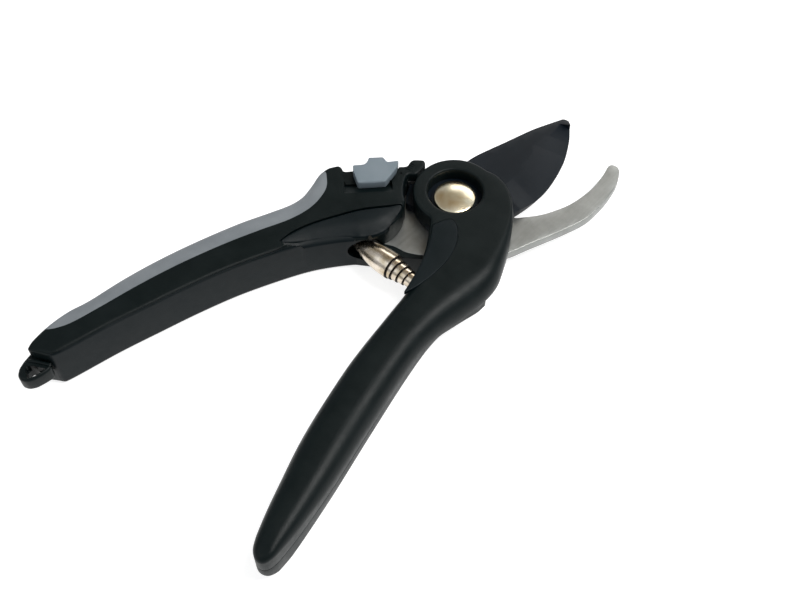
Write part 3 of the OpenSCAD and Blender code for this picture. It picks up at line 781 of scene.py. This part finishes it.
LANYARD_HOLE = (-137.9, 51.6)


def build_lanyard_end():
    """The thin end beyond the shells: a ledge, a rounded triangular hollow and the cord's hole."""
    p = outline([(-131, 56.8), (-134.2, 57.3), (-137.2, 56.7), (-140, 55.6), (-141.8, 53.9), (-142.2, 52),
                 (-141.3, 50.2), (-139.4, 49), (-136.4, 48.3), (-133.4, 48.2), (-132.4, 49.4), (-133.2, 53)],
                soft=0.5, step=0.4)
    low, high = height("lanyard_end", top=False), height("lanyard_end")
    end = moulded("lanyard_end_fine", p, low, high, fitted(p, 1.3), fitted(p, 1.1), grid=1.2)
    ledge = swept([(-136.4, 55.6, high - 0.1), (-134.6, 52.6, high + 0.1), (-132.8, 49.2, high)], 0.6)
    shape_by(end, [ledge], "UNION")
    p = outline([(-138, 54.9), (-134.2, 48.8), (-140.9, 50.3)], soft=0.9, step=0.3)
    hollow = moulded("cutter", p, low + 3.2, high + 2, fitted(p, 1.2), 0.0, steps=4, grid=0)
    hole = turned("cutter", [(0, low - 1), (2.4, low - 1), (2.4, low), (2.0, low + 0.5), (2.0, high + 2),
                             (0, high + 2)], (*LANYARD_HOLE, 0))
    shape_by(end, [hollow, hole])
    finish_piece(end, "upper_handle", "handle_nylon", "lanyard_end")


# ---------------------------------------------------------------- the lower handle

LOWER_INNER = smooth([(-20.5, -5.9), (-26.3, -9), (-37.7, -13.3), (-51.6, -15.5), (-64.8, -17.4),
                      (-77.1, -19.8), (-99, -25.6), (-118, -32.8), (-129.5, -38)])
LOWER_TIP = smooth([(-129.5, -38), (-132.8, -40.2), (-134.4, -43.2), (-133.4, -45.6), (-130, -46.4)])
LOWER_OUTER = smooth([(-130, -46.4), (-120, -45.2), (-102, -41.8), (-80.6, -36.8), (-57, -31.8),
                      (-44, -30.9), (-33, -32.2), (-24, -33.2), (-17, -32.6), (-10.5, -30), (-4, -26.8),
                      (1.8, -23.4), (7, -19.5), (11.3, -15), (13.8, -10.6), (14.9, -6)])
BACK_OUTER = smooth([(-130, -46.4), (-120, -45.2), (-102, -41.8), (-80.6, -36.8), (-57, -31.4),
                     (-44, -29.4), (-33, -29.7), (-24, -30.8)])
STEP_R = 36.3           # the back half starts here, behind the blades
SHOULDER_R = 7.4        # rounding along the outer side
FRONT_EYE_R = 14.2      # outside of the eye that stands round the bolt's head
EYE_HOLE_R = 9.4
BLADE_EYE_ROOM = (10.1, 16)     # inner and outer radius of the rooms about the blade's eye
TIP_FROM = -123         # the handle's end thins from here on
TIP_LENGTH = 11


def lower_radii(p):
    """Rounding of the lower handle: small about the eye, a broad shoulder along the outer side."""
    reach = np.linalg.norm(p, axis=1)
    outer = distance(p, LOWER_OUTER) < distance(p, LOWER_INNER)
    full = np.where(outer, SHOULDER_R, PALM_R)
    grow = np.where(outer, 0.9 + 0.34 * (reach - 19), 0.9 + 0.26 * (reach - 20))
    return fitted(p, blur(np.clip(grow, 0.9, full), 6))


def thin_tip(verts):
    """The handle's end thins from below and a little from above."""
    x, z = verts[:, 0], verts[:, 2]
    t = np.clip((TIP_FROM - x) / TIP_LENGTH, 0, 1.1) ** 2
    moved = verts.copy()
    moved[:, 2] += (BLADE_Z - z) * np.where(z < BLADE_Z, 0.5, 0.2) * t
    return moved


def build_lower_handle():
    """Both shells and the thumb pad of the handle that carries the cutting blade."""
    p = outline(LOWER_INNER, LOWER_TIP, LOWER_OUTER, arc(FRONT_EYE_R, -6, 186), [(-16.2, -3)], soft=0.7)
    front = moulded("lower_front_shell_fine", p, BLADE_Z, LOWER_TOP, SEAM, lower_radii(p), steps=9,
                    holes=[(circle(EYE_HOLE_R), 0.2, 0.75)], warp=thin_tip)
    shape_by(front, [
        prism(blade_outline(grow=0.05), BLADE_Z - 1, BLADE_TOP + 0.02),
        sector(*BLADE_EYE_ROOM, 38, 172, BLADE_Z - 1, BLADE_TOP - 0.3),
        sector(*BLADE_EYE_ROOM, 72, 140, BLADE_Z - 1, BLADE_TOP + 1.75),
        prism(thumb_region(0.08), LOWER_TOP - 1.2, LOWER_TOP + 1), spring_pocket(True)])
    finish_piece(front, "lower_handle", "handle_nylon", "lower_front_shell")

    def far(q):
        """The points beyond the step."""
        return q[np.linalg.norm(q, axis=1) > STEP_R]

    p = outline(far(LOWER_INNER), LOWER_TIP, far(BACK_OUTER), arc(STEP_R, 238, 202), soft=0.5)
    reach = np.linalg.norm(p, axis=1)
    low = np.minimum(lower_radii(p), fitted(p, np.where(reach < STEP_R + 1.5, 0.6, SHOULDER_R)))
    back = moulded("lower_back_shell_fine", p, 0, BLADE_Z, low, SEAM, steps=9, warp=thin_tip)
    shape_by(back, [spring_pocket(True), *[screw_pocket(q) for q in LOWER_SCREWS]])
    finish_piece(back, "lower_handle", "handle_nylon", "lower_back_shell")

    p = thumb_region(0.0)
    pad = moulded("thumb_pad_fine", p, LOWER_TOP - 1.2, LOWER_TOP + 0.12, 0.0, fitted(p, 0.35),
                  grid=1.2, crown=0.15, reach=3)
    finish_piece(pad, "lower_handle", "soft_black", "thumb_pad")


def sector(r0, r1, a, b, z0, z1):
    """Cutter for part of a ring about the pivot, from angle a to angle b."""
    return prism(np.vstack([arc(r1, a, b), arc(r0, b, a)]), z0, z1)


THUMB_SEAM = smooth([(-42.8, -15.1), (-37.5, -16.6), (-30, -17.3), (-23.5, -16.9), (-17.5, -15.2),
                     (-12.8, -12.2), (-10.3, -8.8), (-10.4, -6.9), (-12, -5.6), (-16.2, -4)])


def thumb_region(grow):
    """Outline of the thumb pad, grown for the room that it lies in."""
    p = outline(smooth([(-16.2, -4), (-20.8, -7), (-26.6, -9.9), (-33, -12.3), (-38, -13.7), (-42.8, -15)]),
                THUMB_SEAM, soft=0.4, step=0.4)
    return p - inward(p) * grow


# ---------------------------------------------------------------- steel

BUSH_R = 5.0            # the bush that both blades' eyes stand on


def build_blades():
    """The bright hook blade and the coated cutting blade with its grind."""
    p = hook_outline()
    hook = moulded("hook_blade_fine", p, HOOK_Z, HOOK_TOP, fitted(p, 0.2), fitted(p, 0.25), steps=3, grid=2.5)
    shape_by(hook, [disc(BUSH_R, 0, 20), spring_pocket(False)])
    finish_piece(hook, "upper_handle", "bright_steel", "hook_blade")

    p = blade_outline()
    blade = moulded("cutting_blade_fine", p, BLADE_Z, BLADE_TOP, fitted(p, 0.12), fitted(p, 0.22), steps=3,
                    grid=2.5)
    shape_by(blade, [grind_cutter(), disc(BUSH_R + 0.06, 0, 20)])
    finish_piece(blade, "lower_handle", "coated_steel", "cutting_blade", angle=20)


def grind_cutter():
    """Wedge that takes the grind off along the cutting edge, from the upper face."""
    land, width, thick = 0.4, 11.0, BLADE_TOP - BLADE_Z
    tangent = np.gradient(CUTTING_EDGE, axis=0)
    tangent /= np.linalg.norm(tangent, axis=1)[:, None]
    normal = np.column_stack([-tangent[:, 1], tangent[:, 0]])
    verts, faces = [], []
    last = len(CUTTING_EDGE) - 1
    for i, (e, n) in enumerate(zip(CUTTING_EDGE, normal)):
        t = i / last
        depth = (thick - land) * min(1, 0.25 + 4 * t)
        w = width * min(1, 0.35 + 2.2 * (1 - t))
        rise = depth / w
        low, high = e - n * 0.5, e + n * (w + 0.5)
        base = BLADE_TOP - depth - 0.5 * rise
        verts += [(*low, base), (*high, BLADE_TOP + 0.5 * rise), (*low, BLADE_TOP + 1 + 0.5 * rise)]
    for i in range(last):
        for k in range(3):
            a, b = 3 * i + k, 3 * i + (k + 1) % 3
            faces.append((a, b, b + 3, a + 3))
    faces += [(2, 1, 0), (3 * last, 3 * last + 1, 3 * last + 2)]
    wedge = make_piece("cutter", verts, faces)
    volume_out(wedge)
    return wedge


# ---------------------------------------------------------------- pivot, screws and lock

def build_pivot():
    """The bolt with its domed head in the eye, and the nut at the back."""
    r, rim = 7.1, HEAD_Z
    dome = [(0, rim - 1), (3.9, rim - 1), (3.9, rim), (r - 0.12, rim), (r, rim + 0.12)]
    corner, rise = 0.35, 0.95
    for k in range(5):
        t = math.radians(75 * k / 4)
        dome.append((r - corner * (1 - math.cos(t)), rim + 0.8 + corner * math.sin(t)))
    edge_r, edge_z = dome[-1]
    for k in range(1, 13):
        q = 1 - k / 12
        dome.append((edge_r * q, edge_z + rise * (1 - q * q)))
    head = turned("pivot_bolt_head_fine", dome)
    shank = turned("cutter", [(0, 0.7), (3.4, 0.7), (3.9, 1.2), (3.9, rim - 0.5), (0, rim - 0.5)], count=64)
    shape_by(head, [shank], "UNION")
    finish_piece(head, "upper_handle", "nickel", "pivot_bolt", angle=40)

    p = outline([(6.9 * math.cos(math.radians(60 * k)), 6.9 * math.sin(math.radians(60 * k)))
                 for k in range(6)], soft=0.12, step=0.3)
    nut = moulded("pivot_nut_fine", p, 1.3, HOOK_Z - 0.8, 0.1, 0.1, steps=2, grid=0)
    crown = turned("cutter", [(0, 1.2), (5.6, 1.2), (7.4, 2.3), (7.4, 6), (0, 6)])
    keep_in(nut, crown)
    shape_by(nut, [turned("cutter", [(0, 1), (4.5, 1), (3.95, 1.8), (3.95, 9), (0, 9)])])
    finish_piece(nut, "upper_handle", "zinc_steel", "pivot_nut")


def build_screws(name, places, body, node):
    """Pan-head screws with a cross recess, seen from the back."""
    pieces = []
    for x, y in places:
        profile = [(0, 0.62), (1.7, 0.64), (2.4, 0.85), (2.65, 1.2), (2.65, 2.0), (1.4, 2.05), (1.4, 13.9),
                   (0, 13.9)]
        screw = turned("screw", profile, (x, y, 0), count=40)
        arms = []
        for turn in (25, 115):
            c, s = math.cos(math.radians(turn)), math.sin(math.radians(turn))
            bar = [(x + c * a - s * b, y + s * a + c * b)
                   for a, b in ((-1.5, -0.28), (1.5, -0.28), (1.5, 0.28), (-1.5, 0.28))]
            arms.append(prism(bar, 0, 1.35))
        pieces.append(shape_by(screw, arms))
    group = pieces[0]
    shape_by(group, pieces[1:], "UNION")
    group.name = name
    finish_piece(group, body, "zinc_steel", node)


def build_slider():
    """The lock's slider with its stepped outline, and the neck that reaches the lock bar."""
    p = outline([(-16.3, 31.3), (-13.4, 28.9), (-12, 29), (-10.4, 29.8), (-7.1, 26.5), (-7.4, 25.3),
                 (-7.7, 24.2), (-4.9, 21.6), (-7.9, 20), (-14.2, 18.9), (-20.6, 25), (-18, 29.6)],
                soft=0.22, step=0.3)
    p = p.mean(0) + (p - p.mean(0)) * 1.05
    front = np.abs((p[:, 0] + 14.2) * 0.707 + (p[:, 1] - 18.9) * 0.707) < 0.5
    high = fitted(p, blur(np.where(front, 0.9, 0.45), 2))
    slider = moulded("lock_slider_fine", p, UPPER_TOP - 1, SLIDER_TOP, 0.2, high, steps=5, grid=1.2,
                     crown=0.1)
    neck = outline(arc(1.5, 45, 225, (-13.5, 26)), arc(1.5, 225, 405, (-11, 23.5)), soft=0.0)
    shape_by(slider, [prism(neck, BLADE_TOP + 1.45, UPPER_TOP - 0.5)], "UNION")
    finish_piece(slider, "lock", "slider_grey", "lock_slider")


# ---------------------------------------------------------------- volute spring

def build_spring():
    """Coiled strip: one long barrel turn at the upper handle, then narrower turns that step out
    towards the lower handle and slide into it when the handles close."""
    strip_t, gap = 0.3, 0.12
    lay = strip_t + gap
    first, mouth, last = -3.9, 14.0, 26.8       # where the barrel starts and ends, and where the coil ends
    barrel = smooth([(first, 1.6), (-1.0, 2.1), (1.4, 2.75), (4.2, 3.5), (7.2, 4.1), (10.5, 4.45),
                     (mouth, 4.55)], 0.2)
    turns, per_turn, width = 6.6, 2.35, 9.0
    count = 60
    across = 18
    # the last, narrow band of the strip's width carries the painted shade of the gaps between turns
    share = np.append(np.linspace(0, 0.965, across), 1.0)
    side = np.cross(SPRING_AXIS, (0, 0, 1))
    up = np.array([0, 0, 1])
    outer, inner, weight = [], [], []
    for i in range(int(turns * count) + 1):
        u = i / count
        low_edge = mouth + 0.5 * min(u, 1) + per_turn * max(0, u - 1)
        low_edge = min(low_edge, last)
        high_edge = first + max(0.0, u - 0.9) * 4.4
        high_edge = min(high_edge, low_edge - width * 0.4)
        if u < 0.35:
            high_edge += (0.35 - u) * 22
        ring_r = 4.62 - lay * u
        ring_r = max(ring_r, 2.9 - 0.12 * u)
        phi = 2 * math.pi * u + 2.2
        out = math.cos(phi) * side + math.sin(phi) * up
        for side_r, store in ((0.0, outer), (strip_t, inner)):
            row = []
            for k in range(across + 1):
                s = high_edge + (low_edge - high_edge) * share[k]
                limit = float(np.interp(s, barrel[:, 0], barrel[:, 1])) - lay * min(u, 2.5) + 0.2
                r = min(ring_r, limit) - side_r
                edge = min(1.0, min(k, across - k) / 1.2)
                r -= (1 - edge) * (0.08 if side_r == 0 else -0.08)
                row.append(SPRING_FROM + SPRING_AXIS * s + r * out)
            store.append(row)
        weight.append(min(1.0, max(0.0, (u - 0.9) / (turns - 1.4))))
    verts, faces, weights = [], [], []
    rows = len(outer)
    wide = across + 1
    for store in (outer, inner):
        for row, w in zip(store, weight):
            verts += row
            weights += [w] * wide
    back = rows * wide

    def quad(a, b, c, d):
        faces.append((a, b, c, d))

    for i in range(rows - 1):
        for k in range(across):
            a = i * wide + k
            quad(a, a + 1, a + wide + 1, a + wide)
            quad(back + a, back + a + wide, back + a + wide + 1, back + a + 1)
        for k in (0, across):
            a = i * wide + k
            order = (a, a + wide, back + a + wide, back + a)
            quad(*(order if k == 0 else order[::-1]))
    for i in (0, rows - 1):
        for k in range(across):
            a = i * wide + k
            order = (a, back + a, back + a + 1, a + 1)
            quad(*(order if i == 0 else order[::-1]))
    spring = make_piece("volute_spring_fine", verts, faces)
    volume_out(spring)
    finish_piece(spring, None, "nickel", "volute_spring", angle=50)
    spring.data.materials[0] = plated("spring_strip", (0.76, 0.68, 0.58), (0.46, 0.38, 0.26), 0.24)
    # near-black painted shade for the dark gaps between the turns, put on the strip's lower edge band and its
    # rim
    spring.data.materials.append(plated("painted_gap_shade", (0.020, 0.017, 0.014), (0.012, 0.010, 0.008), 0.5))
    # the outer face's last band and the lower rim of every row get the painted gap shade
    ring = 2 * across + 2
    for face in spring.data.polygons:
        if face.index % ring in (2 * across - 2, 2 * across + 1):
            face.material_index = 1
    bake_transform(spring)


# ---------------------------------------------------------------- studio and camera

def flat_square(name, half):
    """A level square of side 2 * half, in metres."""
    mesh = bpy.data.meshes.new(name)
    mesh.from_pydata([(-half, -half, 0), (half, -half, 0), (half, half, 0), (-half, half, 0)], [],
                     [(0, 1, 2, 3)])
    square = bpy.data.objects.new(name, mesh)
    bpy.context.scene.collection.objects.link(square)
    return square


def place_above(thing, target, direction, far):
    """Puts a light or a card at a distance from the target, with its back to the sky."""
    away = Vector(direction).normalized()
    thing.location = target + away * far
    thing.rotation_mode = "QUATERNION"
    thing.rotation_quaternion = away.to_track_quat("Z", "Y")


def build_studio():
    """White floor, a dark card that the upward faces mirror, a soft key, two fills and a pale world."""
    floor = flat_square("floor", 3.0)
    floor.location.z = -0.00005
    paper = Nodes("white_paper")
    paper.set(Base_Color=(0.5, 0.5, 0.5), Roughness=0.9, Specular_IOR_Level=0.1,
              Emission_Color=(1.0, 1.0, 1.0), Emission_Strength=0.77)
    floor.data.materials.append(paper.material)

    target = Vector((-0.01, 0.0, 0.01))
    card = flat_square("dark_card", 0.25)
    place_above(card, target, (0.42, 0.38, 0.83), 0.75)
    cloth = Nodes("brown_cloth")
    cloth.set(Base_Color=(0.22, 0.19, 0.15), Roughness=1.0, Specular_IOR_Level=0.0)
    card.data.materials.append(cloth.material)

    lights = (("key", (0.30, -0.40, 0.88), 0.80, (0.30, 0.42), 5.2, (1.0, 0.99, 0.97)),
              ("right_fill", (0.85, 0.30, 0.55), 1.1, (0.7, 0.5), 3.0, (1.0, 0.98, 0.95)),
              ("left_fill", (-0.65, 0.30, 0.75), 1.2, (0.8, 0.8), 1.6, (0.94, 0.98, 1.0)))
    for name, direction, far, size, power, colour in lights:
        data = bpy.data.lights.new(name, "AREA")
        data.shape = "RECTANGLE"
        data.size, data.size_y = size
        data.energy = power
        data.color = colour
        light = bpy.data.objects.new(name, data)
        place_above(light, target, direction, far)
        bpy.context.scene.collection.objects.link(light)

    world = bpy.data.worlds.new("studio")
    bpy.context.scene.world = world
    world.use_nodes = True
    background = world.node_tree.nodes["Background"]
    background.inputs["Color"].default_value = (0.95, 0.97, 1.0, 1.0)
    background.inputs["Strength"].default_value = 0.44
    bpy.context.scene.view_settings.view_transform = "Standard"


def build_camera():
    """The photograph's view: from the front left, about 56 degrees above the floor."""
    data = bpy.data.cameras.new("camera")
    data.lens = 49.5
    data.sensor_width = 36
    data.clip_start, data.clip_end = 0.01, 10
    camera = bpy.data.objects.new("camera", data)
    bpy.context.scene.collection.objects.link(camera)
    right = Vector((0.669, -0.743, 0.0)).normalized()
    forward = Vector((0.4188, 0.3771, -0.8261)).normalized()
    up = right.cross(forward)
    spin = Matrix((right, up, -forward)).transposed()
    camera.location = PIVOT + Vector((-0.18990, -0.14605, 0.30176))
    camera.rotation_mode = "QUATERNION"
    camera.rotation_quaternion = spin.to_quaternion()
    bpy.context.scene.camera = camera


build_camera()
build_studio()
build_upper_handle()
build_lanyard_end()
build_lower_handle()
build_blades()
build_pivot()
build_screws("upper_screws_fine", UPPER_SCREWS, "upper_handle", "upper_screws")
build_screws("lower_screws_fine", LOWER_SCREWS, "lower_handle", "lower_screws")
build_slider()
build_spring()

# CAD nodes that no detailed piece replaces, with their material slots
KEPT_NODES = {
    "hook_tang_pins": "zinc_steel", "blade_tang_pins": "zinc_steel", "pivot_bush": "nickel",
    "head_washer": "coated_steel", "nut_washer": "zinc_steel", "upper_spring_seat": "zinc_steel",
    "lower_spring_seat": "zinc_steel", "lock_bar": "zinc_steel", "lock_pin": "zinc_steel"}
for node, slot in KEPT_NODES.items():
    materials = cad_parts[node].data.materials
    materials.clear()
    materials.append(MATERIALS[slot])
